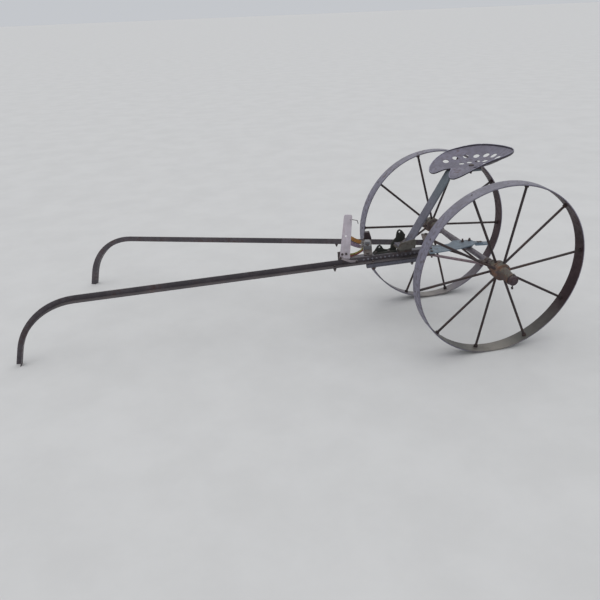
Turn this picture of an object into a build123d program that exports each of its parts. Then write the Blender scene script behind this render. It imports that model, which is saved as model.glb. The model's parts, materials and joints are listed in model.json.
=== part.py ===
"""Two-wheeled horse cart: steel wheels, angle-iron shafts and a pressed-steel seat. Millimetres, +Z up.

The axle lies along Y and the ground is Z = 0. The shafts reach towards -X. The wheel at -Y is called near and the
one at +Y far. The shaft frame is slewed on the axle, because one U-bolt holds it. Everything is drawn with the axle
over the origin, then moved so that the origin is the bottom centre of the whole cart.
"""
import os
from math import atan, cos, degrees, exp, hypot, radians, sin, tan

from build123d import *

# Wheels
WHEEL_R = 500.0
TYRE_W = 80.0
TYRE_T = 8.0
TRACK = 880.0
CAMBER = 3.0
SPOKES = 10
SPOKE_R = 7.0
SPOKE_TENON_R = 5.9
SPOKE_ROOT = 38.0
SPOKE_HUB_STAGGER = 17.0
SPOKE_TYRE_STAGGER = 9.0
SPOKE_PHASE = {"near": 7.3, "far": 4.3}
HUB_IN = -85.0
HUB_OUT = 125.0
DRUM_R = 49.0
COLLAR_R = 27.0
STUB_R = 14.0
STUB_END = 154.0
RUN_GAP = 0.06

# Axle
TUBE_R = 16.7
TUBE_BORE = 13.3
TUBE_HALF = 330.0
WHEEL_Z = WHEEL_R * cos(radians(CAMBER)) + TYRE_W / 2 * sin(radians(CAMBER))
AXLE_Z = WHEEL_Z + (TRACK / 2 - TUBE_HALF) * tan(radians(CAMBER))

# Shaft frame: its own axes are f forwards, n towards the near side, h up from the top edges of the shafts
SLEW = 18.5
SLOPE = 2.98
DECK_Z = 524.0
SPLAY = degrees(atan(0.217))
HALF_GAP = 33.0
U_BOLT_Y = -36.0
U_BOLT_HALF = 23.0
ANGLE = 35.0
ANGLE_T = 5.0
SHAFT_REAR = 196.0
PIPE_R = 16.7
BEND_START = 2328.0
BEND_R = 410.0
BEND_TURN = 73.1
TOE = 150.0
LAP = 0.2
STRAP_FOOT = (668, -20)
WEB_BOLT = (748, -15)

# Seat
PAN_X = 41.5
PAN_HALF_L = 204.5
PAN_HALF_W = 219.5
PAN_Z = 1008.0
PAN_BOWL = 32.0
PAN_BACK = 84.6
PAN_SIDE = 42.7
PAN_DROOP = 71.3
PAN_ROLL = 0.05
PAN_PITCH = 0.076
PAN_PLACE = Pos(-4, 7, 0) * Rot(0, 0, 6.3)
PAN_T = 3.0
POST_W = 80.0
POST_T = 10.0

FRAME = Rot(0, 0, -SLEW) * Plane(
    origin=(0, 0, DECK_Z),
    x_dir=(-cos(radians(SLOPE)), 0, -sin(radians(SLOPE))),
    z_dir=(-sin(radians(SLOPE)), 0, cos(radians(SLOPE))),
).location

NEAR_SHAFT = Plane(
    origin=(0, HALF_GAP, 0),
    x_dir=(cos(radians(SPLAY)), sin(radians(SPLAY)), 0),
    z_dir=(sin(radians(SPLAY)), -cos(radians(SPLAY)), 0),
).location

nodes = {}


def block(x0, x1, y0, y1, z0, z1):
    """Solid box between two corners."""
    return Pos((x0 + x1) / 2, (y0 + y1) / 2, (z0 + z1) / 2) * Box(x1 - x0, y1 - y0, z1 - z0)


def rod(start, end, radius):
    """Round bar between two points."""
    direction = Vector(*end) - Vector(*start)
    plane = Plane(origin=start, z_dir=direction)
    return plane.location * Cylinder(radius, direction.length, align=(Align.CENTER, Align.CENTER, Align.MIN))


def turned(profile):
    """Solid of revolution about Z from (radius, height) points."""
    face = make_face(Polyline(*[(r, 0, z) for r, z in profile], close=True))
    return revolve(face, Axis.Z)


def group(solids):
    return Compound(children=[s.solid() for s in solids])


def hex_bolt(top, length, radius=5.0):
    """Hexagon bolt pointing down, its head seated at height top."""
    head = Pos(0, 0, top) * extrude(RegularPolygon(radius * 1.75, 6), radius * 1.3)
    return head + Pos(0, 0, top - length) * Cylinder(radius, length, align=(Align.CENTER, Align.CENTER, Align.MIN))


def hex_nut(base, radius=5.0, height=8.0):
    """Hexagon nut standing on height base."""
    nut = Pos(0, 0, base) * extrude(RegularPolygon(radius * 1.75, 6), height)
    return nut - Cylinder(radius + 0.05, 4000)


def hole(x, y, radius, reach=400):
    return Pos(x, y, 0) * Cylinder(radius, reach)


# ---------------------------------------------------------------- wheels


def spoke_ends(index, phase):
    """Root and tyre ends of a spoke, in the wheel's own axes (Z out along the hub)."""
    angle = radians(phase + index * 360 / SPOKES)
    side = 1 if index % 2 == 0 else -1
    root = (SPOKE_ROOT * cos(angle), SPOKE_ROOT * sin(angle), side * SPOKE_HUB_STAGGER)
    reach = WHEEL_R + 4
    tip = (reach * cos(angle), reach * sin(angle), side * SPOKE_TYRE_STAGGER)
    return Vector(*root), Vector(*tip)


def along(root, tip, radius_wanted):
    """Point of the spoke line at a distance from the wheel's axis."""
    inner = hypot(root.X, root.Y)
    outer = hypot(tip.X, tip.Y)
    return root + (tip - root) * ((radius_wanted - inner) / (outer - inner))


def make_wheel(phase):
    """Tyre, spokes, spoke collars and hub of one wheel, in the wheel's own axes."""
    inner = WHEEL_R - TYRE_T
    tyre = Rot(0, 0, phase + 18) * (Cylinder(WHEEL_R, TYRE_W) - Cylinder(inner, TYRE_W + 2))
    tyre = fillet(tyre.edges().filter_by(GeomType.CIRCLE), 2.0)
    hub = turned(
        [
            (0, HUB_IN), (29, HUB_IN), (32, HUB_IN + 3), (32, HUB_IN + 14), (28, HUB_IN + 18), (30, -36),
            (DRUM_R - 3, -32), (DRUM_R, -29), (DRUM_R, -4), (DRUM_R - 4, -1), (DRUM_R - 4, 1), (DRUM_R, 4),
            (DRUM_R, 29), (DRUM_R - 3, 32), (34, 36), (28, HUB_OUT - 14), (31, HUB_OUT - 10),
            (31, HUB_OUT - 2), (29, HUB_OUT), (0, HUB_OUT),
        ]
    )
    hub -= Cylinder(STUB_R + RUN_GAP, 400)
    spokes = []
    collars = []
    for index in range(SPOKES):
        root, tip = spoke_ends(index, phase)
        shank = rod(along(root, tip, SPOKE_ROOT + 0.5), along(root, tip, inner - 0.6), SPOKE_R)
        spokes.append(shank + rod(along(root, tip, inner - 2), along(root, tip, WHEEL_R - 0.8), SPOKE_TENON_R))
        hub -= rod(along(root, tip, SPOKE_ROOT), along(root, tip, DRUM_R + 10), SPOKE_R + 0.05)
        tyre -= rod(along(root, tip, inner - 4), tip, SPOKE_TENON_R + 0.1)
        collar = rod(along(root, tip, inner - 13), along(root, tip, inner - 0.7), 11.5)
        collars.append(collar - rod(root, tip, SPOKE_R + 0.05))
    return {"tyre": tyre, "spokes": group(spokes), "spoke_collars": group(collars), "hub": hub}


def make_stub(sign):
    """Stub axle: a plug inside the tube, a shoulder, and the set-down arm the hub turns on."""
    plug = rod((0, sign * (TUBE_HALF - 70), AXLE_Z), (0, sign * TUBE_HALF, AXLE_Z), TUBE_BORE - 0.05)
    shoulder = rod((0, sign * (TUBE_HALF + LAP), AXLE_Z), (0, sign * (TUBE_HALF + 16), AXLE_Z), 20)
    neck = rod((0, sign * (TUBE_HALF - 2), AXLE_Z), (0, sign * (TUBE_HALF + 2), AXLE_Z), TUBE_BORE - 0.05)
    arm = turned(
        [
            (0, -104), (19, -104), (22, -101), (22, HUB_IN - 0.4), (STUB_R, HUB_IN - 0.4),
            (STUB_R, STUB_END - 2), (STUB_R - 2, STUB_END), (0, STUB_END),
        ]
    )
    return plug + neck + shoulder + wheel_place(sign) * arm


def wheel_place(sign):
    """Location of a wheel's own axes: Z out along the stub axle, X towards the rear."""
    tilt = radians(CAMBER)
    return Plane(
        origin=(0, sign * TRACK / 2, WHEEL_Z), x_dir=(1, 0, 0), z_dir=(0, sign * cos(tilt), -sin(tilt))
    ).location


def make_wheels():
    for side, sign in (("near", -1), ("far", 1)):
        place = wheel_place(sign)
        for name, part in make_wheel(SPOKE_PHASE[side]).items():
            nodes[f"{side}_{name}"] = place * part
        washer = Pos(0, 0, HUB_OUT + 2.4) * Cylinder(29, 4) - Cylinder(STUB_R + RUN_GAP, 400)
        retainer = turned(
            [
                (0, HUB_OUT + 4.6), (COLLAR_R - 2, HUB_OUT + 4.6), (COLLAR_R, HUB_OUT + 6.6),
                (COLLAR_R, HUB_OUT + 22), (COLLAR_R - 3, HUB_OUT + 25), (0, HUB_OUT + 25),
            ]
        )
        pin_z = HUB_OUT + 14
        pin_hole = Pos(0, 0, pin_z) * Rot(90, 0, 0) * Cylinder(3.1, 120)
        retainer = retainer - Cylinder(STUB_R + 0.05, 400) - pin_hole
        shank = Pos(0, 0, pin_z) * Rot(90, 0, 0) * Cylinder(3.0, 80)
        eye = Pos(0, sign * (COLLAR_R + 17), pin_z) * Rot(0, 90, 0) * (Cylinder(8, 5) - Cylinder(3.5, 8))
        nodes[f"{side}_washer"] = place * washer
        nodes[f"{side}_retainer"] = place * retainer
        nodes[f"{side}_cotter"] = place * (shank + eye)
        nodes[f"{side}_stub_axle"] = make_stub(sign) - place * pin_hole


# ---------------------------------------------------------------- axle


def make_axle():
    axis = Pos(0, 0, AXLE_Z) * Rot(90, 0, 0)
    nodes["axle_tube"] = axis * (Cylinder(TUBE_R, 2 * TUBE_HALF) - Cylinder(TUBE_BORE, 2 * TUBE_HALF + 2))


# ---------------------------------------------------------------- shaft frame


def band(start, depth0, depth1):
    """Side view of a strip that follows the shaft between two depths below its top edge."""

    def edge(depth):
        radius = BEND_R - depth
        turn = radians(90 - BEND_TURN)
        middle = radians(90 - BEND_TURN / 2)
        end = (BEND_START + radius * cos(turn), -BEND_R + radius * sin(turn))
        toe = (end[0] + TOE * sin(turn), end[1] - TOE * cos(turn))
        crown = (BEND_START + radius * cos(middle), -BEND_R + radius * sin(middle))
        return (start, -depth), (BEND_START, -depth), crown, end, toe

    p0, p1, p2, p3, p4 = edge(depth0)
    q0, q1, q2, q3, q4 = edge(depth1)
    outline = [
        Line(p0, p1), ThreePointArc(p1, p2, p3), Line(p3, p4), Line(p4, q4),
        Line(q4, q3), ThreePointArc(q3, q2, q1), Line(q1, q0), Line(q0, p0),
    ]
    return make_face(outline)


def make_shafts():
    web = extrude(band(SHAFT_REAR, 0, ANGLE), ANGLE_T)
    flange = extrude(band(SHAFT_REAR, ANGLE - ANGLE_T, ANGLE), -ANGLE)
    near = NEAR_SHAFT * (web + flange)
    far = mirror(near, Plane.XZ)
    near -= rivet_holes()
    for f, n in pipe_bolt_points():
        near -= hole(f, n, 5.05)
    for f, n in stud_points():
        near -= hole(f, n, 5.05)
        far -= hole(f, -n, 5.05)
    near -= in_shaft([STRAP_FOOT, WEB_BOLT], 4.05)
    ground = block(-4000, 0, -3000, 3000, -600, 0)
    nodes["near_shaft"] = FRAME * near - ground
    nodes["far_shaft"] = FRAME * far - ground


def at_near_shaft(a, outward):
    """Frame coordinates of a point beside the near shaft."""
    c, s = cos(radians(SPLAY)), sin(radians(SPLAY))
    return a * c - outward * s, HALF_GAP + a * s + outward * c


def rivet_stations():
    return [258 + 26 * i for i in range(15)]


def rivet_holes():
    return [NEAR_SHAFT * Pos(a, -18, 0) * Cylinder(4.05, 60) for a in rivet_stations()]


def pipe_bolt_points():
    return [at_near_shaft(a, 16) for a in (330, 570)]


def stud_points():
    return [at_near_shaft(805, 18)]


def make_near_side():
    """Doubling angle, rivets and pipe of the near shaft."""
    leg = block(200, 705, -ANGLE, 0, ANGLE_T + LAP, 2 * ANGLE_T + LAP)
    top = block(200, 705, -ANGLE_T, 0, ANGLE_T + LAP, 50)
    doubler = NEAR_SHAFT * (leg + top) - rivet_holes() - in_shaft([STRAP_FOOT], 4.05)
    for f, n in rear_bolt_points() + seat_bolt_points() + crossbar_bolt_points() + cast_bolt_points():
        doubler -= hole(f, n, 5.05)
    nodes["near_doubler"] = FRAME * doubler
    rivets = []
    grip = 2 * ANGLE_T + LAP
    for a in rivet_stations():
        shank = Cylinder(4, grip, align=(Align.CENTER, Align.CENTER, Align.MIN))
        inner_head = Pos(0, 0, grip) * (Sphere(7) & block(-9, 9, -9, 9, 0, 9))
        outer_head = Sphere(7) & block(-9, 9, -9, 9, -9, 0)
        rivet = shank + inner_head + outer_head
        rivets.append(FRAME * NEAR_SHAFT * Pos(a, -18, 0) * (rivet & Cylinder(7, 2 * (grip + 4.5))))
    nodes["near_rivets"] = group(rivets)
    pipe_axis = NEAR_SHAFT * Pos(290, -ANGLE - PIPE_R - LAP, -16) * Rot(0, 90, 0)
    pipe = Cylinder(PIPE_R, 320, align=(Align.CENTER, Align.CENTER, Align.MIN))
    pipe -= Cylinder(PIPE_R - 3.4, 700)
    pipe = pipe_axis * pipe
    for f, n in pipe_bolt_points():
        pipe -= hole(f, n, 5.05)
    nodes["near_pipe"] = FRAME * pipe


def rear_bolt_points():
    return [at_near_shaft(224, -30)]


def seat_bolt_points():
    return [at_near_shaft(a, -39) for a in (336, 372)]


def cast_bolt_points():
    return [at_near_shaft(a, -26) for a in (462, 540)]


def crossbar_bolt_points():
    return [at_near_shaft(590, -30)]


def make_cross_members():
    rear = block(192, 236, -178, 200, 0, 9)
    for point in rear_bolt_points() + brace_points() + tail_bolt_points():
        rear -= hole(*point, 5.05)
    nodes["rear_crosspiece"] = FRAME * rear
    seat_plate = make_face(Polyline((318, -114), (404, -132), (404, 132), (318, 112), close=True))
    seat_plate = extrude(seat_plate, 8)
    for point in seat_bolt_points():
        seat_plate -= hole(*point, 5.05)
    for point in seat_screw_points():
        seat_plate -= hole(*point, 4.05)
    nodes["seat_crossplate"] = FRAME * seat_plate
    bar = block(556, 606, -166, 148, 0, 6)
    for point in crossbar_bolt_points() + clamp_bolt_points():
        bar -= hole(*point, 5.05)
    nodes["front_crossbar"] = FRAME * bar
    side = make_face(Polyline((554, 6.2), (602, 6.2), (596, 52), (566, 52), close=True))
    stop = Rot(90, 0, 0) * extrude(side, 15, both=True)
    nodes["far_block"] = FRAME * Pos(0, -150, 0) * stop


def frame_hole(x, y, radius=5.05):
    """Vertical hole at a point given in the cart's own axes, expressed in frame axes."""
    return FRAME.inverse() * (Pos(x, y, 500) * Cylinder(radius, 400))


def seat_screw_points():
    return [(388.4, 112), (332.5, 93.3)]


def brace_points():
    return [(208, 180), (208, -160)]


def tail_bolt_points():
    return [(208, 130), (208, 92)]


def clamp_bolt_points():
    return [(581, -26), (581, 44)]


def make_tail():
    """Tapered plate over the axle, narrow bar behind it, saddle, U-bolt and bolts."""
    outline = Polyline(
        (222, 72), (222, 202), (190, 200), (38, 151), (-42, 104), (-62, 78), (-106, 76), (-106, 46), (-60, 40),
        (-46, 12), (60, 8), (96, 60), (181, 76), close=True
    )
    plate = Pos(0, 0, 9.2) * extrude(make_face(outline), 6)
    bar = block(-150, -62, 38, 84, 0.8, 9)
    saddle = Pos(0, 0, AXLE_Z) * block(-34, 34, U_BOLT_Y - 25, U_BOLT_Y + 25, 2, 60)
    saddle -= Pos(0, 0, AXLE_Z) * Rot(90, 0, 0) * Cylinder(TUBE_R + 0.05, 200)
    above = FRAME * block(-400, 400, -400, 400, 9, 200)
    saddle -= above
    legs = []
    for x in (-U_BOLT_HALF, U_BOLT_HALF):
        legs.append(rod((x, U_BOLT_Y, AXLE_Z), (x, U_BOLT_Y, DECK_Z + 34), 5))
        plate -= frame_hole(x, U_BOLT_Y)
        saddle -= Pos(x, U_BOLT_Y, 500) * Cylinder(5.05, 300)
    bend = Pos(0, U_BOLT_Y, AXLE_Z) * Rot(90, 0, 0) * Torus(U_BOLT_HALF, 5)
    bend = bend & block(-60, 60, -90, 60, AXLE_Z - 60, AXLE_Z)
    for point in tail_bolt_points() + brace_points():
        plate -= hole(*point, 5.05)
    for f in (-78, -94):
        plate -= hole(f, 61, 4.05)
        bar -= hole(f, 61, 4.05)
    nodes["tail_plate"] = FRAME * plate
    nodes["tail_bar"] = FRAME * bar
    nodes["axle_saddle"] = saddle
    nodes["u_bolt"] = bend + legs
    nuts = []
    for x in (-U_BOLT_HALF, U_BOLT_HALF):
        rearward = x * cos(radians(SLEW)) - U_BOLT_Y * sin(radians(SLEW))
        base = DECK_Z + 15.4 + rearward * tan(radians(SLOPE)) + 1.2
        nuts.append(Pos(x, U_BOLT_Y, 0) * hex_nut(base, 5, 9))
    nodes["u_bolt_nuts"] = group(nuts)
    small = [FRAME * Pos(f, 61, 0) * hex_bolt(15.2, 20, 4) for f in (-78, -94)]
    nodes["tail_bar_bolts"] = group(small)


def make_frame_bolts():
    """Bolts and nuts that hold the cross members, bracket bases and clamp on the frame."""
    bolts = []
    nuts = []

    def add(point, top, bottom):
        bolts.append(FRAME * Pos(*point, 0) * hex_bolt(top, top - bottom + 14))
        nuts.append(FRAME * Pos(*point, 0) * hex_nut(bottom - 8.2))

    for point in rear_bolt_points():
        add(point, 9, -ANGLE_T)
    for point in seat_bolt_points():
        add(point, 8, -ANGLE_T)
    for point in crossbar_bolt_points():
        add(point, 6, -ANGLE_T)
    for point in tail_bolt_points():
        add(point, 15.2, 0)
    for point in cast_bolt_points():
        add(point, 6, -ANGLE_T)
    for point in pipe_bolt_points():
        add(point, ANGLE_T - ANGLE, -ANGLE - 2 * PIPE_R - 2 * LAP)
    add(clamp_bolt_points()[1], 30.2, 0)
    nodes["frame_bolts"] = group(bolts)
    nodes["frame_nuts"] = group(nuts)
    studs = []
    for f, n in stud_points():
        for side in (n, -n):
            cone = turned([(0, -ANGLE - 26), (3, -ANGLE - 26), (13, -ANGLE - 0.2), (0, -ANGLE - 0.2)])
            stem = Pos(0, 0, -ANGLE - 1) * Cylinder(5, 14, align=(Align.CENTER, Align.CENTER, Align.MIN))
            studs.append(FRAME * Pos(f, side, 0) * (cone + stem))
    nodes["shaft_studs"] = group(studs)


# ---------------------------------------------------------------- braces


def frame_point(f, n, h):
    """Point of the frame in the cart's own axes."""
    return (FRAME * Pos(f, n, h)).position


def make_braces():
    """Diagonal rods from the rear cross-piece to straps on the axle ends, and the thin tie rod."""
    straps = []
    bolts = []
    near_point, far_point = brace_points()
    for side, sign, point, seat in (("near", -1, near_point, 15.2), ("far", 1, far_point, 9)):
        y = sign * 312
        start = frame_point(*point, -5.4)
        end = Vector(-46, y, AXLE_Z - 4.4)
        line = end - start
        unit = line.normalized()
        shape = rod(start + unit * 24, end - unit * 24, 8)
        flat = Plane(origin=start, x_dir=unit, z_dir=Vector(0, 0, 1) - unit * unit.Z).location
        for reach, turn in ((0, 1), (line.length, -1)):
            paddle = Cylinder(16, 8) + block(min(0, turn * 36), max(0, turn * 36), -10, 10, -4, 4)
            shape += flat * Pos(reach, 0, 0) * paddle
            shape -= flat * Pos(reach, 0, 0) * Cylinder(5.6, 40)
        nodes[f"{side}_brace"] = shape
        band_ring = Rot(90, 0, 0) * (Cylinder(TUBE_R + 5, 30) - Cylinder(TUBE_R + 0.05, 32))
        tab = block(-46, -TUBE_R - 2, -15, 15, 0.4, 8.4) + Pos(-46, 0, 4.4) * Cylinder(15, 8)
        strap = Pos(0, y, AXLE_Z) * (band_ring + tab)
        strap -= Pos(-46, y, 500) * Cylinder(5.05, 400)
        straps.append(strap)
        bolts.append(Pos(-46, y, 0) * hex_bolt(AXLE_Z + 8.4, 30))
        bolts.append(FRAME * Pos(*point, 0) * hex_bolt(seat, seat + 22))
    nodes["axle_straps"] = group(straps)
    nodes["brace_bolts"] = group(bolts)
    head = frame_point(214, -34, -8)
    foot = Vector(-TUBE_R - 3, -268, AXLE_Z - 10)
    nodes["tie_rod"] = rod(head, foot, 4)


# ---------------------------------------------------------------- things on the frame


def make_cast_bracket():
    """Dark cast bracket with three holes, standing on the near shaft's top flange."""
    outline = [
        (412, 5), (556, 5), (544, 14), (536, 26), (524, 43), (510, 48), (499, 38), (488, 18), (464, 12),
        (446, 18), (439, 52), (425, 67), (410, 79), (405, 108), (398, 124), (385, 129), (369, 118), (352, 92),
        (357, 67), (381, 46), (402, 26),
    ]
    side = make_face(Polyline(*outline, close=True))
    wall = extrude(side, 5, both=True)
    holes = [(387, 114, 7), (421, 50, 6), (514, 33, 6)]
    for a, c, radius in holes:
        wall -= Pos(a, c, 0) * Cylinder(radius, 40)
        wall += Pos(a, c, 0) * (Cylinder(radius + 5, 16) - Cylinder(radius, 40))
    base = block(412, 556, 0, 6, -31, 5)
    shape = NEAR_SHAFT * Pos(0, 0, 44) * (wall + base)
    for point in cast_bolt_points():
        shape -= hole(*point, 5.05)
    nodes["cast_bracket"] = FRAME * shape


def in_shaft(points, radius):
    """Cross holes through the near shaft's web plane at (along, up) points."""
    return [NEAR_SHAFT * Pos(a, c, 0) * Cylinder(radius, 80) for a, c in points]


def cross_bolt(a, c, head_at, nut_at):
    """Bolt across the near shaft's web, head outside, with its nut inside."""
    head = Pos(0, 0, head_at - 5) * extrude(RegularPolygon(7.5, 6), 5)
    shank = rod((0, 0, head_at), (0, 0, nut_at + 9), 4)
    nut = Pos(0, 0, nut_at) * extrude(RegularPolygon(7.5, 6), 6)
    return FRAME * NEAR_SHAFT * Pos(a, c, 0) * (head + shank + nut)


def make_board():
    """Upright plate on the near shaft, its strap, cleat, bolts and wire hook."""
    lean = NEAR_SHAFT * Pos(738, 5, 0) * Rot(0, 0, 8)
    face = make_face(Polyline((-31, 0), (31, 0), (24, 262), (18, 270), (-18, 270), (-24, 262), close=True))
    board = lean * extrude(face, ANGLE_T)
    board -= lean * Pos(4, 140, 0) * Cylinder(6, 40)
    board -= lean * Pos(-14, 240, 0) * Cylinder(2.1, 40)
    plate_bolts = [(728, 34), (752, 34)]
    strap_top = (765, 14)
    board -= in_shaft(plate_bolts + [strap_top], 4.05)
    nodes["upright_plate"] = FRAME * board
    cleat = block(712, 778, -29, 50, ANGLE_T + LAP, 9.4) + block(724, 756, -29, -24, ANGLE_T + LAP, 26)
    nodes["plate_cleat"] = FRAME * (NEAR_SHAFT * cleat - in_shaft(plate_bolts + [strap_top, WEB_BOLT], 4.05))
    path = Polyline(strap_top, (704, -16), STRAP_FOOT)
    strap = extrude(trace(path, 14), -ANGLE_T)
    for a, c in (strap_top, STRAP_FOOT):
        strap += extrude(Pos(a, c, 0) * Circle(9), -ANGLE_T)
    strap = Pos(0, 0, -LAP) * strap
    nodes["plate_strap"] = FRAME * (NEAR_SHAFT * strap - in_shaft([strap_top, STRAP_FOOT], 4.05))
    outer = -ANGLE_T - LAP
    bolts = [cross_bolt(a, c, 0, 9.4) for a, c in plate_bolts + [WEB_BOLT]]
    bolts.append(cross_bolt(*strap_top, outer, 9.4))
    bolts.append(cross_bolt(*STRAP_FOOT, outer, 2 * ANGLE_T + LAP))
    nodes["plate_bolts"] = group(bolts)
    wire = [(-14, 240, -6), (-14, 240, 14), (-60, 232, 14), (-66, 214, 14)]
    hook = [rod(p, q, 2) for p, q in zip(wire, wire[1:])] + [Pos(*p) * Sphere(2) for p in wire[1:]]
    nodes["wire_hook"] = FRAME * lean * (Part() + hook)


def webbing(start, end, width=22, thickness=3):
    """Flat strap between two points of the frame, its width upright."""
    line = Vector(*end) - Vector(*start)
    level = Vector(line.X, line.Y, 0).normalized()
    plane = Plane(origin=start, x_dir=line, z_dir=Vector(-level.Y, level.X, 0))
    return FRAME * plane.location * block(0, line.length, -width / 2, width / 2, -thickness / 2, thickness / 2)


def make_clamp():
    """Stepped clamp on the front crossbar, its painted bolt, and the three straps it holds."""
    clamp = block(562, 602, -40, 58, 6.2, 30) + block(567, 597, -13, 31, 30, 48)
    for point in clamp_bolt_points():
        clamp -= hole(*point, 5.05)
    nodes["strap_clamp"] = FRAME * clamp
    nodes["painted_bolt"] = FRAME * Pos(*clamp_bolt_points()[0], 0) * hex_bolt(30, 36)
    nodes["upper_strap"] = webbing((688, 170, 134), (608, 18, 38))
    nodes["middle_strap"] = webbing((692, 170, 100), (608, 34, 17.5))
    nodes["lower_strap"] = webbing((697, 172, 19), (609, 60, 12))


# ---------------------------------------------------------------- seat


def pan_height(x, y):
    """Height of the seat pan's underside: a bowl with raised back and sides and two drooping front lobes."""
    u = (x - PAN_X) / PAN_HALF_L
    v = abs(y) / PAN_HALF_W
    rear = max(0.0, (1 + u) / 2)
    ahead = max(0.0, -u)
    rim = PAN_BACK * rear**2.6 + PAN_SIDE * v**2.4 * (0.55 + 0.45 * rear) - PAN_DROOP * ahead**2
    pommel = 36 * exp(-((v / 0.25) ** 2)) * ahead**1.5
    bowl = PAN_BOWL * exp(-1.8 * (u * u + v * v) ** 2)
    return PAN_Z + rim + pommel - bowl - PAN_ROLL * y - PAN_PITCH * (x - PAN_X)


def make_seat():
    half = [
        (-107, 0), (-121, 22), (-158, 61), (-170, 107), (-158, 153), (-119, 189), (-59, 212), (20, 222),
        (109, 209), (178, 174), (225, 112), (243, 51), (247, 0),
    ]
    outline = half + [(x, -y) for x, y in reversed(half[1:-1])]
    plan = make_face(Spline(*outline, half[0]))
    xs = [-200 + 480 * i / 24 for i in range(25)]
    ys = [-245 + 490 * j / 24 for j in range(25)]
    grid = [[Vector(x, y, pan_height(x, y)) for y in ys] for x in xs]
    sheet = Face.make_surface_from_array_of_points(grid)
    pan = Solid.extrude(sheet, Vector(0, 0, PAN_T)) & (Pos(0, 0, 800) * extrude(plan, 500))
    outer = [(-50, 148), (18, 152), (84, 138), (131, 100), (168, 54), (181, 0)]
    inner = [(12, 72), (58, 62), (98, 38), (122, 0)]
    for x, y in outer + inner:
        for side in {1, -1 if y else 1}:
            pan -= Pos(x, side * y, 1000) * Cylinder(18 if (x, y) in outer else 16, 300)
    pan = PAN_PLACE * pan
    sheet = PAN_PLACE * sheet
    pan -= Pos(20, 0, 1000) * Cylinder(6.1, 300)
    nodes["seat_pan"] = pan
    saddle = block(-50, 66, -34, 34, 976.2, 1000) - Solid.extrude(Pos(0, 0, -LAP) * sheet, Vector(0, 0, 60))
    saddle -= Pos(20, 0, 1000) * Cylinder(6.1, 300)
    nodes["seat_saddle"] = saddle
    base = block(-414, -336, 0, 33, 480, 545) & (FRAME * block(-100, 900, -400, 400, 8.2, 18.2))
    stem = block(-388, -354, 2, 31, 480, 545) & (FRAME * block(-100, 900, -400, 400, 8.2, 200))
    side = Polyline((-440, 541), (-438, 566), (-426, 583), (-340, 597), (-330, 580), (-336, 541), close=True)
    cheek = Pos(0, -40.4, 0) * Rot(90, 0, 0) * extrude(make_face(side), 8)
    boss = Pos(-400, -48, 566) * Rot(90, 0, 0) * Cylinder(10, 8)
    riser = base + stem + block(-440, -336, -46, 38, 541, 549) + cheek + boss
    path = FilletPolyline((-432, 554.2), (-368, 554.2), (-113, 971), (66, 971), radius=26)
    post = extrude(Rot(90, 0, 0) * trace(path, POST_T), POST_W / 2, both=True)
    bolts = []
    for y in (-18, 18):
        post -= Pos(-396, y, 560) * Cylinder(5.05, 100)
        riser -= Pos(-396, y, 549) * Cylinder(5.05, 60)
        bolts.append(Pos(-396, y, 0) * hex_bolt(559.2, 18))
    for point in seat_screw_points():
        riser -= FRAME * hole(*point, 4.05)
        bolts.append(FRAME * Pos(*point, 0) * hex_bolt(18.2, 18, 4))
    post -= Pos(20, 0, 1000) * Cylinder(6.1, 300)
    nodes["seat_bracket"] = riser
    nodes["seat_post"] = post
    nodes["seat_bracket_bolts"] = group(bolts)
    top = pan_height(24, -7) + PAN_T + 1.6
    head = turned([(0, top), (16, top), (15, top + 3), (9, top + 6.5), (0, top + 7.5)])
    head = Pos(20, 0, 0) * head - Solid.extrude(Pos(0, 0, -1) * sheet, Vector(0, 0, PAN_T + 1 + LAP))
    nodes["seat_bolt"] = head + rod((20, 0, 946), (20, 0, top + 6), 6)
    nodes["seat_nut"] = Pos(20, 0, 0) * hex_nut(955.8, 6, 10)


make_wheels()
make_axle()
make_shafts()
make_near_side()
make_cross_members()
make_tail()
make_frame_bolts()
make_braces()
make_cast_bracket()
make_board()
make_clamp()
make_seat()
whole = Compound(children=[s for shape in nodes.values() for s in shape.solids()]).bounding_box()
centre = whole.center()
os.makedirs("parts", exist_ok=True)
for name, shape in nodes.items():
    export_step(Pos(-centre.X, -centre.Y, -whole.min.Z) * shape, f"parts/{name}.step")
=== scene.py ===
"""Looks for the two-wheeled horse cart: weathered steel, faded paint, webbing, pale floor and soft light."""

import json
import math

import bpy
from mathutils import Matrix, Vector
from mathutils.bvhtree import BVHTree


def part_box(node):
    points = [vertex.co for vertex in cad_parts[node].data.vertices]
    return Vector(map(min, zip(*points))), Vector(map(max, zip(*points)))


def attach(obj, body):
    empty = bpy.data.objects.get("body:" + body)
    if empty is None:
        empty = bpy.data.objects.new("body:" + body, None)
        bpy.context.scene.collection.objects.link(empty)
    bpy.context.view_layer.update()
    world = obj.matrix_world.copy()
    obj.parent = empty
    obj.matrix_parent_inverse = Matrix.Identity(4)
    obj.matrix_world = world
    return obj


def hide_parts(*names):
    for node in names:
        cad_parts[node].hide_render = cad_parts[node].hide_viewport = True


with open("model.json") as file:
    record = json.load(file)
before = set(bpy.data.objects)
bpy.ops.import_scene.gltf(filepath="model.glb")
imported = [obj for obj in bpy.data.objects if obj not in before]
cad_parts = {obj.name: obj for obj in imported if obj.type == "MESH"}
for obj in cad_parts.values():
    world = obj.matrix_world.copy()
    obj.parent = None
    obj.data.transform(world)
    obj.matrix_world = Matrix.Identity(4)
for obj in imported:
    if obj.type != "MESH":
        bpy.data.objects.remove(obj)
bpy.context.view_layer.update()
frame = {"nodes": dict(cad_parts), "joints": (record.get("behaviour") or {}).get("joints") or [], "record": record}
nodes = frame["nodes"]

# ------------------------------------------------------------------ materials


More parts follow.
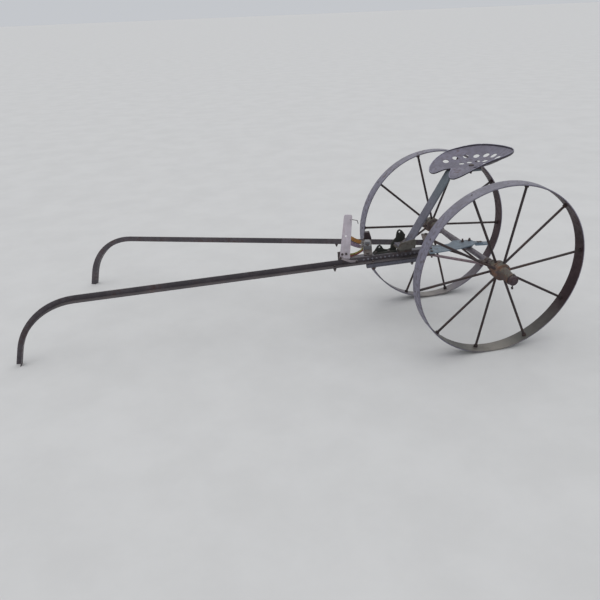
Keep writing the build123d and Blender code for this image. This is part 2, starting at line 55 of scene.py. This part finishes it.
class Shader:
    """Small helper that builds one procedural material."""

    def __init__(self, name):
        self.material = bpy.data.materials.new(name)
        self.material.use_nodes = True
        self.tree = self.material.node_tree
        self.tree.nodes.clear()
        self.out = self.node("ShaderNodeOutputMaterial")
        self.surface = self.node("ShaderNodeBsdfPrincipled")
        self.link(self.surface.outputs[0], self.out.inputs[0])
        self.coords = self.node("ShaderNodeTexCoord")
        self.place = self.coords.outputs["Object"]

    def node(self, kind, **settings):
        made = self.tree.nodes.new(kind)
        for key, value in settings.items():
            setattr(made, key, value)
        return made

    def link(self, source, target):
        self.tree.links.new(source, target)

    def put(self, target, value):
        """Links a socket or sets a plain value."""
        if hasattr(value, "is_linked"):
            self.link(value, target)
        elif isinstance(value, (tuple, list)) and len(value) == 3 and len(target.default_value) == 4:
            target.default_value = (*value, 1.0)
        else:
            target.default_value = value

    def noise(self, scale, detail=4.0, roughness=0.55, stretch=(1, 1, 1), shift=0.0):
        """Noise from 0 to 1 with features of about 1/scale metres."""
        mapping = self.node("ShaderNodeMapping")
        self.link(self.place, mapping.inputs["Vector"])
        mapping.inputs["Scale"].default_value = stretch
        mapping.inputs["Location"].default_value = (shift, shift * 1.7, -shift)
        made = self.node("ShaderNodeTexNoise")
        self.link(mapping.outputs[0], made.inputs["Vector"])
        made.inputs["Scale"].default_value = scale
        made.inputs["Detail"].default_value = detail
        made.inputs["Roughness"].default_value = roughness
        return made.outputs["Fac"]

    def cells(self, scale):
        """Distance to the nearest of scattered points, about 1/scale metres apart."""
        made = self.node("ShaderNodeTexVoronoi")
        self.link(self.place, made.inputs["Vector"])
        made.inputs["Scale"].default_value = scale
        return made.outputs["Distance"]

    def step(self, value, low, high, out_low=0.0, out_high=1.0):
        """Smooth step of a value between two limits."""
        made = self.node("ShaderNodeMapRange", interpolation_type="SMOOTHSTEP")
        self.put(made.inputs["Value"], value)
        made.inputs["From Min"].default_value = low
        made.inputs["From Max"].default_value = high
        made.inputs["To Min"].default_value = out_low
        made.inputs["To Max"].default_value = out_high
        return made.outputs["Result"]

    def math(self, operation, first, second=0.0):
        made = self.node("ShaderNodeMath", operation=operation)
        self.put(made.inputs[0], first)
        self.put(made.inputs[1], second)
        return made.outputs[0]

    def mix(self, factor, first, second):
        made = self.node("ShaderNodeMix", data_type="RGBA")
        self.put(made.inputs[0], factor)
        self.put(made.inputs[6], first)
        self.put(made.inputs[7], second)
        return made.outputs[2]

    def bump(self, height, distance, strength=1.0, below=None):
        made = self.node("ShaderNodeBump")
        made.inputs["Strength"].default_value = strength
        made.inputs["Distance"].default_value = distance
        self.link(height, made.inputs["Height"])
        if below is not None:
            self.link(below, made.inputs["Normal"])
        return made.outputs["Normal"]


def tint(color, factor):
    return tuple(min(1.0, c * factor) for c in color)


RUST = (0.095, 0.050, 0.034)
DARK_RUST = (0.035, 0.022, 0.020)
DUST = (0.30, 0.275, 0.24)
FINE_GRAIN = 420.0
PIT_SPACING = 190.0
RIB_WAVES, THREAD_WAVES = 420.0, 75.0
SOIL, WEAVE_SHADOW, LICHEN = (0.085, 0.065, 0.055), (0.05, 0.03, 0.03), (0.115, 0.122, 0.092)
# The first colour is a painted highlight for the top of the seat edge.
EDGE_PAINTED_HIGHLIGHT, TEAL_CAST = (0.260, 0.255, 0.330), (0.110, 0.165, 0.175)
# Inner face of the tyres: dark rust with painted shade, in two tones, and rust specks.
INNER_RUST_AND_SHADE_DARK, INNER_RUST_AND_SHADE_LIGHT, INNER_SPECK = (0.026, 0.012, 0.016), (0.052, 0.028, 0.033), (0.095, 0.060, 0.055)


def upward(s, low=0.35, high=0.95):
    """1 where the surface faces up, by its upright normal component."""
    split = s.node("ShaderNodeSeparateXYZ")
    s.link(s.coords.outputs["Normal"], split.inputs[0])
    return s.step(split.outputs[2], low, high)


def height(s, low, high):
    """1 near the ground, fading to 0 between two heights in metres."""
    split = s.node("ShaderNodeSeparateXYZ")
    s.link(s.place, split.inputs[0])
    return s.step(split.outputs[2], low, high, 1.0, 0.0)


def steel_layers(s, base, rust, rusting, grain):
    """Colour, rust patches, pits and the noises that drive them."""
    broad = s.noise(7.0, 5.0, 0.6, shift=3.1)
    middle = s.noise(46.0, 6.0, 0.62, grain, shift=7.7)
    fine = s.noise(FINE_GRAIN, 3.0, 0.6, shift=1.9)
    tone = s.mix(s.step(broad, 0.32, 0.68), tint(base, 0.80), tint(base, 1.18))
    tone = s.mix(s.step(middle, 0.38, 0.72, 0.0, 0.5), tone, tint(base, 0.62))
    spread = s.math("ADD", s.math("MULTIPLY", broad, 0.5), s.math("MULTIPLY", middle, 0.5))
    edge = 0.66 - 0.24 * rusting
    patches = s.step(spread, edge - 0.07, edge + 0.09)
    specks = s.step(fine, 0.60, 0.74, 0.0, 0.5 * rusting)
    rusty = s.mix(s.step(fine, 0.3, 0.7), tint(rust, 0.6), tint(rust, 1.3))
    color = s.mix(s.math("MAXIMUM", s.math("MULTIPLY", patches, 0.75), specks), tone, rusty)
    pits = s.step(s.cells(PIT_SPACING), 0.0, 0.22, 1.0, 0.0)
    pits = s.math("MULTIPLY", pits, s.step(middle, 0.42, 0.6))
    color = s.mix(s.math("MULTIPLY", pits, 0.6), color, DARK_RUST)
    return color, patches, pits, middle, fine


def weathered_steel(name, base, rust=RUST, rusting=0.5, rough=0.55, metal=0.2, pitting=1.0, grain=(1, 1, 1),
                    settled=0.22, overlay=None):
    """Old steel: mottled colour, rust patches and specks, pits, and dust that settles on top."""
    s = Shader(name)
    color, patches, pits, middle, fine = steel_layers(s, base, rust, rusting, grain)
    if overlay is not None:
        color = overlay(s, color)
    dusty = s.math("MULTIPLY", upward(s), s.step(middle, 0.3, 0.7, settled * 0.4, settled))
    color = s.mix(dusty, color, DUST)
    s.put(s.surface.inputs["Base Color"], color)
    s.surface.inputs["Specular IOR Level"].default_value = 0.35
    s.put(s.surface.inputs["Metallic"], s.step(patches, 0.0, 1.0, metal, metal * 0.25))
    polish = s.step(middle, 0.3, 0.7, rough - 0.1, rough + 0.08)
    dull = s.math("ADD", polish, s.math("MULTIPLY", patches, 0.22))
    s.put(s.surface.inputs["Roughness"], s.math("MINIMUM", dull, 0.95))
    crust = s.math("ADD", s.math("MULTIPLY", patches, 0.6), s.math("MULTIPLY", fine, 0.5))
    crust = s.math("SUBTRACT", crust, s.math("MULTIPLY", pits, 1.2 * pitting))
    first = s.bump(middle, 0.0012 * pitting, 0.5)
    s.put(s.surface.inputs["Normal"], s.bump(crust, 0.0007 * pitting, 0.7, first))
    return s


def tyre_inside(centre, low_sky_light_color):
    """Overlay: dark maroon rust and painted shade on the face that looks at the hub, a lighter grey of painted sky
    light low on that face, and sandy dust near the ground.
    """

    def paint(s, tread):
        radial = s.node("ShaderNodeVectorMath", operation="SUBTRACT")
        s.link(s.place, radial.inputs[0])
        radial.inputs[1].default_value = centre
        facing = s.node("ShaderNodeVectorMath", operation="DOT_PRODUCT")
        s.link(radial.outputs[0], facing.inputs[0])
        s.link(s.coords.outputs["Normal"], facing.inputs[1])
        outside = s.step(facing.outputs["Value"], -0.05, 0.05)
        broad = s.noise(9.0, 5.0, 0.6, shift=11.0)
        # Painted shade with dark maroon rust on the inner face, in two tones.
        inner_rust_and_painted_light = s.mix(s.step(broad, 0.35, 0.65), INNER_RUST_AND_SHADE_DARK, INNER_RUST_AND_SHADE_LIGHT)
        inner_rust_and_painted_light = s.mix(s.step(s.noise(300.0, 4.0), 0.45, 0.75, 0.0, 0.45), inner_rust_and_painted_light, INNER_SPECK)
        # Painted sky light: a lighter grey low on the inner face, in patches.
        low = s.math("MULTIPLY", height(s, 0.06, 0.30), s.step(broad, 0.2, 0.65, 0.45, 0.9))
        inner_rust_and_painted_light = s.mix(low, inner_rust_and_painted_light, low_sky_light_color)
        both = s.mix(outside, inner_rust_and_painted_light, tread)
        ground = s.math("MULTIPLY", height(s, 0.0, 0.05), s.step(broad, 0.3, 0.6, 0.35, 0.85))
        return s.mix(ground, both, tint(DUST, 0.85))

    return paint


def painted_shade_below(shade_color_below):
    """Overlay: painted shade, the underside darker than the top."""

    def paint(s, color):
        split = s.node("ShaderNodeSeparateXYZ")
        s.link(s.coords.outputs["Normal"], split.inputs[0])
        return s.mix(s.step(split.outputs[2], -0.25, 0.05, 1.0, 0.0), color, shade_color_below)

    return paint


def mossy_top(s, color):
    """Overlay: grey-green lichen on upward faces, in patches."""
    growth = s.math("MULTIPLY", upward(s, 0.0, 0.8), s.step(s.noise(70.0, 5.0, 0.6), 0.40, 0.62))
    return s.mix(s.math("MULTIPLY", growth, 0.7), color, LICHEN)


def painted_highlight_top(s, color):
    """Overlay: a painted bluish highlight on the top of the edge, over the edge's dark painted-shade colour."""
    return s.mix(upward(s, 0.25, 0.8), color, EDGE_PAINTED_HIGHLIGHT)


def teal_upper(s, color):
    """Overlay: a blue-green cast on the upper third of the seat post."""
    high = s.math("SUBTRACT", 1.0, height(s, 0.74, 0.92))
    return s.mix(s.math("MULTIPLY", high, 0.45), color, TEAL_CAST)


def faded_paint(name, paint, under=(0.10, 0.07, 0.06), chips=0.35, rough=0.6, stain=(0.20, 0.155, 0.15)):
    """Painted metal, faded and stained, chipped back to rust."""
    s = Shader(name)
    broad = s.noise(18.0, 5.0, 0.6, shift=2.0)
    streak = s.noise(60.0, 5.0, 0.6, (1.0, 1.0, 0.22), shift=5.0)
    fine = s.noise(500.0, 3.0, 0.6)
    tone = s.mix(s.step(broad, 0.3, 0.7), tint(paint, 0.82), tint(paint, 1.12))
    tone = s.mix(s.step(streak, 0.45, 0.75, 0.0, 0.6), tone, stain)
    worn = s.math("ADD", s.math("MULTIPLY", broad, 0.4), s.math("MULTIPLY", streak, 0.6))
    chip = s.step(worn, 0.66 - 0.1 * chips, 0.70)
    tone = s.mix(s.math("MAXIMUM", chip, s.step(fine, 0.64, 0.74, 0.0, 0.6)), tone, under)
    s.put(s.surface.inputs["Base Color"], tone)
    s.put(s.surface.inputs["Roughness"], s.step(broad, 0.3, 0.7, rough - 0.12, rough + 0.15))
    relief = s.math("SUBTRACT", s.math("MULTIPLY", fine, 0.3), chip)
    s.put(s.surface.inputs["Normal"], s.bump(relief, 0.0006, 0.7))
    return s


def webbing(name, stripes, across):
    """Woven strap, coloured across or along its length, ribbed and soiled."""
    s = Shader(name)
    uv = s.node("ShaderNodeUVMap", uv_map="weave")
    split = s.node("ShaderNodeSeparateXYZ")
    s.link(uv.outputs[0], split.inputs[0])
    ramp = s.node("ShaderNodeValToRGB")
    ramp.color_ramp.interpolation = "EASE"
    bands = ramp.color_ramp.elements
    bands[1].position, bands[1].color = stripes[-1][0], (*stripes[-1][1], 1.0)
    bands[0].position, bands[0].color = stripes[0][0], (*stripes[0][1], 1.0)
    for position, color in stripes[1:-1]:
        bands.new(position).color = (*color, 1.0)
    s.link(split.outputs[1 if across else 0], ramp.inputs[0])
    soil = s.noise(90.0, 5.0, 0.65)
    rib = s.math("SINE", s.math("MULTIPLY", split.outputs[0], RIB_WAVES))
    thread = s.math("SINE", s.math("MULTIPLY", split.outputs[1], THREAD_WAVES))
    weave = s.math("MULTIPLY", rib, thread)
    color = s.mix(s.step(soil, 0.42, 0.72, 0.0, 0.75), ramp.outputs[0], SOIL)
    color = s.mix(s.step(weave, -1.0, 1.0, 0.35, 0.0), color, WEAVE_SHADOW)
    s.put(s.surface.inputs["Base Color"], color)
    s.surface.inputs["Roughness"].default_value = 0.88
    s.put(s.surface.inputs["Normal"], s.bump(weave, 0.0005, 0.6))
    return s


WHEEL_CENTRE = {j["child"].split("_")[0]: tuple(j["pos_m"]) for j in frame["joints"]}
TREAD = (0.205, 0.196, 0.250)

MATERIALS = {
    # The last colour of each tyre is the painted sky light low on its inner face.
    "near_tyre": weathered_steel("tyre_near", TREAD, (0.110, 0.082, 0.085), 0.36, 0.50, 0.25, 0.8,
                                 overlay=tyre_inside(WHEEL_CENTRE["near"], (0.080, 0.084, 0.078))),
    "far_tyre": weathered_steel("tyre_far", TREAD, (0.110, 0.082, 0.085), 0.40, 0.50, 0.25, 0.8,
                                overlay=tyre_inside(WHEEL_CENTRE["far"], (0.150, 0.138, 0.165))),
    "spoke_steel": weathered_steel("spokes", (0.046, 0.034, 0.036), (0.075, 0.043, 0.035), 0.5, 0.6, 0.15,
                                   settled=0.10),
    "hub_iron": weathered_steel("hubs", (0.092, 0.070, 0.068), (0.240, 0.122, 0.072), 0.64, 0.68, 0.1, 1.8,
                                overlay=mossy_top),
    "collar_iron": weathered_steel("collars", (0.066, 0.044, 0.052), (0.080, 0.044, 0.040), 0.5, 0.55, 0.15,
                                   1.4),
    "shaft_steel": weathered_steel("shafts", (0.088, 0.078, 0.088), (0.088, 0.052, 0.048), 0.40, 0.46, 0.25),
    "rail_steel": weathered_steel("rail", (0.165, 0.160, 0.190), (0.130, 0.096, 0.084), 0.4, 0.46, 0.25),
    "pipe_paint": weathered_steel("pipe", (0.105, 0.105, 0.130), (0.050, 0.036, 0.034), 0.25, 0.30, 0.2, 0.7),
    "dark_casting": weathered_steel("casting", (0.028, 0.030, 0.026), (0.045, 0.032, 0.026), 0.35, 0.62, 0.1,
                                    2.0, settled=0.08),
    "block_iron": weathered_steel("block", (0.040, 0.028, 0.034), (0.060, 0.036, 0.036), 0.4, 0.6, 0.1, 1.6),
    "olive_casting": weathered_steel("olive", (0.100, 0.094, 0.084), (0.070, 0.048, 0.036), 0.4, 0.65, 0.1,
                                     1.6, settled=0.12),
    # Seat: the darker underside is painted shade.
    "seat_steel": weathered_steel("seat", (0.150, 0.140, 0.188), (0.120, 0.082, 0.092), 0.30, 0.46, 0.3, 0.8,
                                  overlay=painted_shade_below((0.042, 0.032, 0.040)), settled=0.12),
    # Seat edge: its dark base colour is painted shade, and its brighter top a painted highlight.
    "seat_edge": weathered_steel("edge", (0.048, 0.040, 0.054), (0.070, 0.044, 0.045), 0.3, 0.42, 0.25, 0.6,
                                 overlay=painted_highlight_top, settled=0.05),
    "post_steel": weathered_steel("post", (0.150, 0.148, 0.186), (0.110, 0.080, 0.078), 0.3, 0.5, 0.25, 0.8,
                                  overlay=teal_upper),
    "tail_steel": weathered_steel("tail", (0.185, 0.240, 0.295), (0.120, 0.098, 0.095), 0.3, 0.52, 0.25, 0.8),
    "brace_steel": weathered_steel("brace", (0.215, 0.160, 0.180), (0.150, 0.098, 0.090), 0.4, 0.6, 0.15),
    "rusty_steel": weathered_steel("rusty", (0.075, 0.060, 0.060), (0.110, 0.062, 0.046), 0.5, 0.62, 0.15,
                                   1.3),
    "tube_steel": weathered_steel("tube", (0.165, 0.148, 0.170), (0.110, 0.076, 0.073), 0.40, 0.50, 0.25),
    "clamp_steel": weathered_steel("clamp", (0.220, 0.225, 0.240), (0.070, 0.052, 0.048), 0.35, 0.5, 0.25),
    "pale_plate": faded_paint("plate_paint", (0.50, 0.455, 0.500), stain=(0.40, 0.31, 0.33)),
    "strap_steel": faded_paint("strap_paint", (0.30, 0.265, 0.28), chips=0.8),
    "teal_paint": faded_paint("teal", (0.04, 0.26, 0.25), chips=0.6, rough=0.4),
}

LOOKS = {
    "near_tyre": "near_tyre", "far_tyre": "far_tyre", "near_pipe": "pipe_paint", "seat_post": "post_steel",
    "near_brace": "brace_steel", "far_brace": "brace_steel", "axle_tube": "tube_steel",
    "strap_clamp": "clamp_steel", "plate_strap": "strap_steel", "seat_bracket": "olive_casting",
    "near_retainer": "collar_iron", "far_retainer": "collar_iron", "far_block": "block_iron",
    "wire_hook": "block_iron", "near_stub_axle": "collar_iron", "far_stub_axle": "collar_iron",
}

SLOT_OF = {s["node"]: s["material_slot"] for s in frame["record"]["subparts"]}
STRAPS = ("upper_strap", "middle_strap", "lower_strap")

for node_name, node in nodes.items():
    if node_name not in STRAPS:
        look = MATERIALS[LOOKS.get(node_name, SLOT_OF[node_name])]
        node.data.materials.clear()
        node.data.materials.append(look.material)

# ------------------------------------------------------------------ turned edge of the seat pan

RIM_STEPS = 240
# Section of the rim, outward and up from the edge of the pan, in millimetres.
RIM_PROFILE = (
    (-2.6, -0.4), (-1.8, 5.0), (0.0, 6.6), (1.9, 5.4), (3.0, 1.6), (3.2, -3.0), (2.6, -6.4), (0.4, -7.2),
    (-1.6, -4.4),
)
RISE_LEAST, RISE_MOST, RISE_RUN = 0.3, 1.35, 0.15
# The search for the edge starts outside the pan, steps inwards, then halves the last step.
SEARCH_START, SEARCH_STEP, HALVINGS, RAY_HEIGHT = 0.34, 0.003, 10, 0.5


def pan_edge(tree, middle, ray):
    """Where the pan's top ends in a direction from its middle, found by looking straight down on it."""

    def top_at(reach):
        return tree.ray_cast(middle + ray * reach + Vector((0, 0, RAY_HEIGHT)), Vector((0, 0, -1)))[0]

    outside = SEARCH_START
    while top_at(outside) is None:
        outside -= SEARCH_STEP
    inside, outside = outside, outside + SEARCH_STEP
    for _ in range(HALVINGS):
        half = (inside + outside) / 2
        if top_at(half) is None:
            outside = half
        else:
            inside = half
    return top_at(inside)


def make_seat_rim():
    """A thin rolled edge along the outline of the pan, higher at the back than at the front."""
    pan = nodes["seat_pan"].data
    tree = BVHTree.FromPolygons([v.co for v in pan.vertices], [p.vertices for p in pan.polygons])
    low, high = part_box("seat_pan")
    middle = (low + high) / 2
    turns = [2 * math.pi * step / RIM_STEPS for step in range(RIM_STEPS)]
    outline = [pan_edge(tree, middle, Vector((math.cos(turn), math.sin(turn), 0))) for turn in turns]
    verts, faces = [], []
    sides = len(RIM_PROFILE)
    for i, spot in enumerate(outline):
        ahead = outline[(i + 1) % RIM_STEPS] - outline[i - 1]
        outward = Vector((ahead.y, -ahead.x, 0)).normalized()
        rise = max(RISE_LEAST, min(RISE_MOST, 1.0 + (spot.x - middle.x) / RISE_RUN))
        for out, up in RIM_PROFILE:
            lift = up * rise if up > 0 else up
            verts.append(spot + outward * out / 1000 + Vector((0, 0, lift / 1000)))
        for j in range(sides):
            k, m = i * sides, ((i + 1) % RIM_STEPS) * sides
            faces.append((k + j, m + j, m + (j + 1) % sides, k + (j + 1) % sides))
    mesh = bpy.data.meshes.new("seat_rim")
    mesh.from_pydata(verts, [], faces)
    for polygon in mesh.polygons:
        polygon.use_smooth = True
    mesh.materials.append(MATERIALS["seat_edge"].material)
    rim = bpy.data.objects.new("seat_rim", mesh)
    bpy.context.scene.collection.objects.link(rim)
    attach(rim, "frame")


make_seat_rim()

# ------------------------------------------------------------------ webbing straps

AXLE_X, AXLE_Y, DECK_HEIGHT = 1.110274, -0.424460, 0.524
SLEW, SLOPE = math.radians(18.5), math.radians(2.98)
WEB_WIDTH, WEB_THICKNESS, WEB_CUP = 0.022, 0.0016, 0.0012
WEB_ROWS, WEB_COLUMNS = 48, 7
TWIST_SIZE, TWIST_WAVES, TWIST_SHIFT = 0.05, 9, 500


def deck(f, n, h):
    """A point of the shaft frame (forwards, near, up, in metres) in the shared frame."""
    ahead = -math.cos(SLOPE) * f - math.sin(SLOPE) * h
    up = DECK_HEIGHT - math.sin(SLOPE) * f + math.cos(SLOPE) * h
    return Vector((
        AXLE_X + ahead * math.cos(SLEW) - n * math.sin(SLEW),
        AXLE_Y - ahead * math.sin(SLEW) - n * math.cos(SLEW),
        up,
    ))


def make_strap(name, start, end, sag, curl, stripes, across):
    """A flat strap between two points, sagging a little and turning its face along the way."""
    start, end = deck(*start), deck(*end)
    line = end - start
    side = Vector((-line.y, line.x, 0)).normalized()
    upright = side.cross(line).normalized()
    rows, columns = WEB_ROWS, WEB_COLUMNS
    verts, faces, middle = [], [], []
    for i in range(rows + 1):
        t = i / rows
        spot = start + line * t - Vector((0, 0, 1)) * sag * 4 * t * (1 - t)
        middle.append(spot)
        turn = curl * math.sin(math.pi * t) + TWIST_SIZE * math.sin(TWIST_WAVES * t + sag * TWIST_SHIFT)
        face_across = upright * math.cos(turn) + side * math.sin(turn)
        for j in range(columns):
            v = j / (columns - 1) - 0.5
            cup = side * WEB_CUP * (1 - 4 * v * v)
            verts.append(spot + face_across * v * WEB_WIDTH + cup)
    for i in range(rows):
        for j in range(columns - 1):
            k = i * columns + j
            faces.append((k, k + 1, k + columns + 1, k + columns))
    mesh = bpy.data.meshes.new(name + "_webbing")
    mesh.from_pydata(verts, [], faces)
    layer = mesh.uv_layers.new(name="weave")
    for loop in mesh.loops:
        row, column = divmod(loop.vertex_index, columns)
        layer.data[loop.index].uv = (row / rows, column / (columns - 1))
    for polygon in mesh.polygons:
        polygon.use_smooth = True
    strap = bpy.data.objects.new(name + "_webbing", mesh)
    bpy.context.scene.collection.objects.link(strap)
    thick = strap.modifiers.new("thickness", "SOLIDIFY")
    thick.thickness = WEB_THICKNESS
    thick.offset = 0.0
    mesh.materials.append(webbing(name, stripes, across).material)
    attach(strap, "frame")
    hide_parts(name)


ORANGE, WHITE, PURPLE = (0.62, 0.28, 0.055), (0.52, 0.49, 0.46), (0.38, 0.28, 0.40)
RED, LIME, SHADE = (0.34, 0.06, 0.07), (0.45, 0.42, 0.10), (0.05, 0.035, 0.035)

make_strap("upper_strap", (0.688, 0.170, 0.134), (0.608, 0.018, 0.038), 0.005, 0.35,
           [(0.0, SHADE), (0.12, ORANGE), (0.78, ORANGE), (0.90, WHITE)], False)
make_strap("middle_strap", (0.692, 0.170, 0.100), (0.608, 0.034, 0.0175), 0.006, 0.30,
           [(0.0, SHADE), (0.15, PURPLE), (0.70, PURPLE), (0.88, WHITE)], False)
make_strap("lower_strap", (0.697, 0.172, 0.019), (0.609, 0.060, 0.012), 0.010, 0.15,
           [(0.0, LIME), (0.46, LIME), (0.58, RED), (1.0, RED)], True)

# ------------------------------------------------------------------ floor, light, camera

FLOOR_SIZE = 400
FLOOR_DARK, FLOOR_LIGHT = (0.60, 0.595, 0.585), (0.635, 0.63, 0.62)
SKY_COLOR, SKY_STRENGTH = (0.92, 0.95, 1.0, 1.0), 0.60
# Name, place it shines from, strength, and apparent width in degrees.
SUNS = (("key", (-2.0, -2.6, 5.0), 0.55, 70), ("top", (1.0, 2.0, 6.0), 0.75, 90))
CAMERA_PLACE, CAMERA_TURNS = (-0.7478, -3.8634, 1.8705), (0.23367, 0.42018, -0.03915)
SENSOR_WIDTH, LENS, SHIFT_Y, CLIP_END = 36.0, 39.12, -1 / 600, 300


def make_stage():
    """Pale floor, even sky light and two soft suns."""
    bpy.ops.mesh.primitive_plane_add(size=FLOOR_SIZE, location=(0, 0, 0))
    floor = bpy.context.object
    floor.name = "floor"
    s = Shader("floor")
    grain = s.noise(2.5, 6.0, 0.6)
    pale = s.mix(s.step(grain, 0.3, 0.7), FLOOR_DARK, FLOOR_LIGHT)
    s.put(s.surface.inputs["Base Color"], pale)
    s.surface.inputs["Roughness"].default_value = 0.9
    floor.data.materials.append(s.material)
    world = bpy.data.worlds.new("studio")
    bpy.context.scene.world = world
    world.use_nodes = True
    background = world.node_tree.nodes["Background"]
    background.inputs[0].default_value = SKY_COLOR
    background.inputs[1].default_value = SKY_STRENGTH
    for name, place, strength, spread in SUNS:
        light = bpy.data.lights.new(name, "SUN")
        light.energy = strength
        light.angle = math.radians(spread)
        holder = bpy.data.objects.new(name, light)
        bpy.context.scene.collection.objects.link(holder)
        holder.location = place
        holder.rotation_euler = (-Vector(place)).to_track_quat("-Z", "Y").to_euler()


def make_camera():
    """Camera at the height, distance and tilt from which the cart is seen."""
    yaw, tilt, roll = CAMERA_TURNS
    ahead = Vector((math.sin(yaw) * math.cos(tilt), math.cos(yaw) * math.cos(tilt), -math.sin(tilt)))
    level = Vector((math.cos(yaw), -math.sin(yaw), 0.0))
    upright = level.cross(ahead)
    right = level * math.cos(roll) + upright * math.sin(roll)
    up = upright * math.cos(roll) - level * math.sin(roll)
    camera = bpy.data.objects.new("camera", bpy.data.cameras.new("camera"))
    bpy.context.scene.collection.objects.link(camera)
    rotation = Matrix((right, up, -ahead)).transposed()
    camera.matrix_world = Matrix.Translation(CAMERA_PLACE) @ rotation.to_4x4()
    camera.data.sensor_width = SENSOR_WIDTH
    camera.data.lens = LENS
    camera.data.shift_y = SHIFT_Y
    camera.data.clip_end = CLIP_END
    bpy.context.scene.camera = camera


make_stage()
make_camera()
bpy.context.scene.view_settings.view_transform = "Standard"
